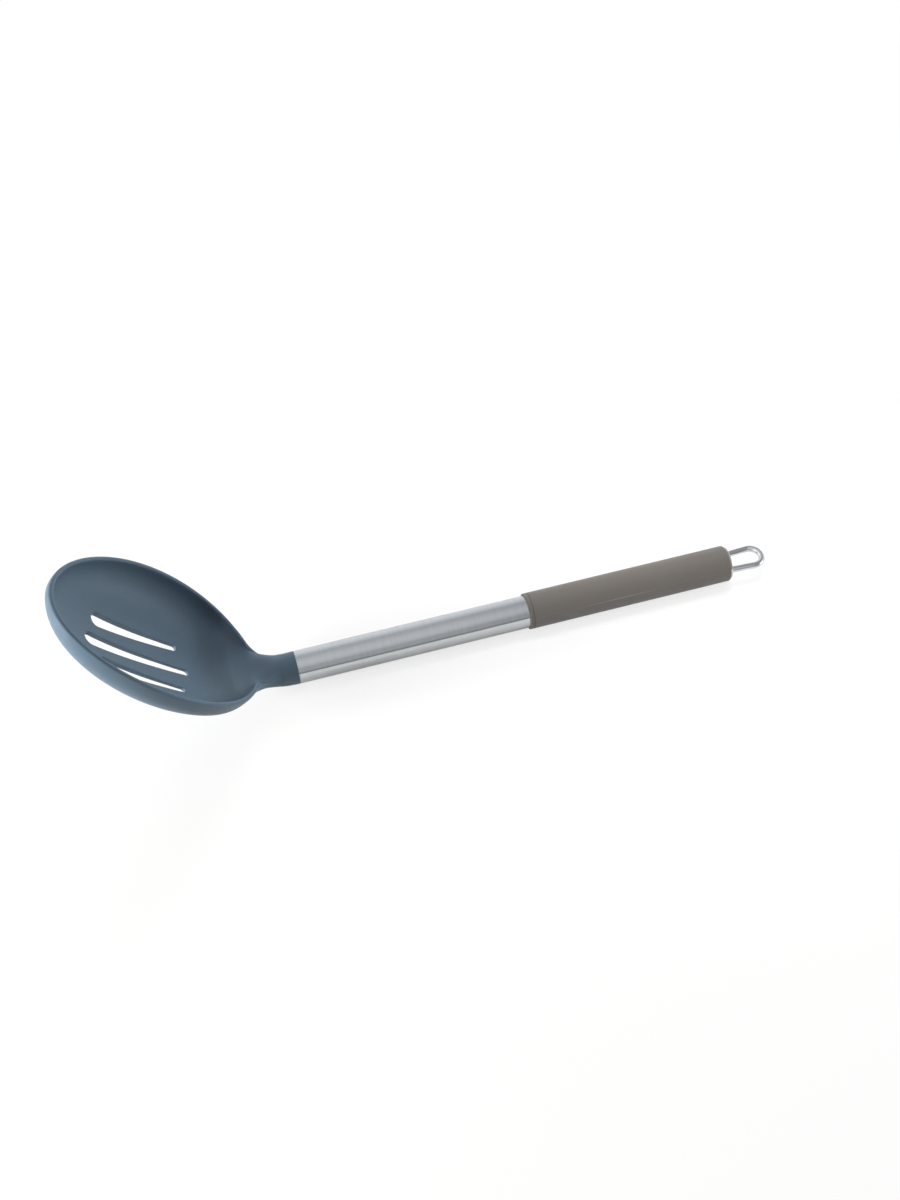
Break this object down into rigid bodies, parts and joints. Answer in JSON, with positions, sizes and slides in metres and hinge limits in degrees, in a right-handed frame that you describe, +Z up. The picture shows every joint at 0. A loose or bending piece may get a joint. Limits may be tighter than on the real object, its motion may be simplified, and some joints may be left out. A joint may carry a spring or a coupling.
{
  "type": "skimmer",
  "caption": "Slotted kitchen skimmer: an oval moulded bowl with long slots, angled up from a steel tube handle with a soft grip sleeve and a wire hanging loop.",
  "frame": {"origin": "bottom centre of the bounding box, below the middle of the overall length, with the grip lying on the ground plane", "axes": "+X along the handle towards the hanging loop, +Y across the tool, +Z up towards the open side of the bowl"},
  "size_m": [0.332, 0.0774, 0.0938],
  "materials": {
    "nylon": "blue-grey moulded nylon with a fine spark-eroded grain",
    "tube_steel": "stainless steel, brushed around the tube",
    "soft_grip": "taupe soft-touch skin, matt",
    "cap_steel": "polished stainless steel",
    "plug_plastic": "dark moulded plastic, hidden in the tube",
    "loop_wire": "polished stainless steel wire"
  },
  "bodies": {
    "root": {"skimmer_head": "nylon", "handle_tube": "tube_steel", "grip_sleeve": "soft_grip", "end_cap": "cap_steel", "loop_plug": "plug_plastic", "hanging_loop": "loop_wire"}
  },
  "joints": []
}
